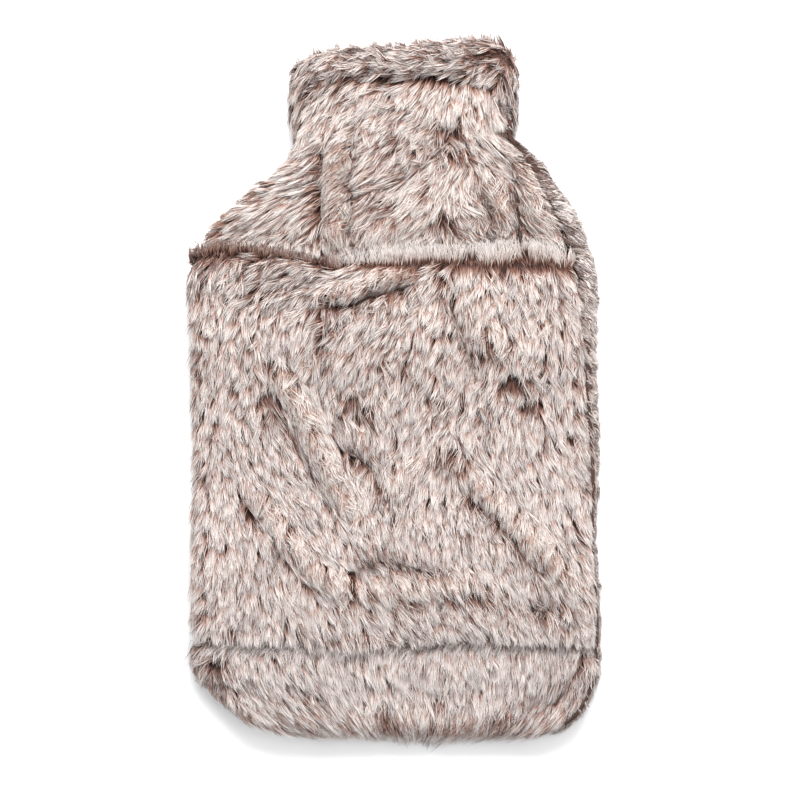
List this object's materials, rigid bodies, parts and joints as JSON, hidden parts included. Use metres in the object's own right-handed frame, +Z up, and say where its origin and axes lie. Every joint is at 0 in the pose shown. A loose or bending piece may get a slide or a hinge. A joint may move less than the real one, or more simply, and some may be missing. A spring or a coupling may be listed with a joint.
{
  "type": "hot water bottle cover",
  "caption": "Long-pile faux-fur cover for a hot water bottle, lying flat and empty: lapped front panels, round bottom corners, narrow neck with a turned top.",
  "frame": {"origin": "middle of the bounding box at the resting face", "axes": "+Z up from the surface it lies on, +Y from the round bottom to the neck, +X to the right seen from above"},
  "size_m": [0.2206, 0.375, 0.0296],
  "materials": {
    "faux_fur": "long pinkish beige pile with dark brown roots, matt",
    "faux_fur_turned": "the same pile, rolled over at the neck"
  },
  "bodies": {
    "root": {"back_panel": "faux_fur", "yoke_panel": "faux_fur", "middle_panel": "faux_fur", "bottom_panel": "faux_fur", "neck_cuff": "faux_fur_turned"}
  },
  "joints": []
}
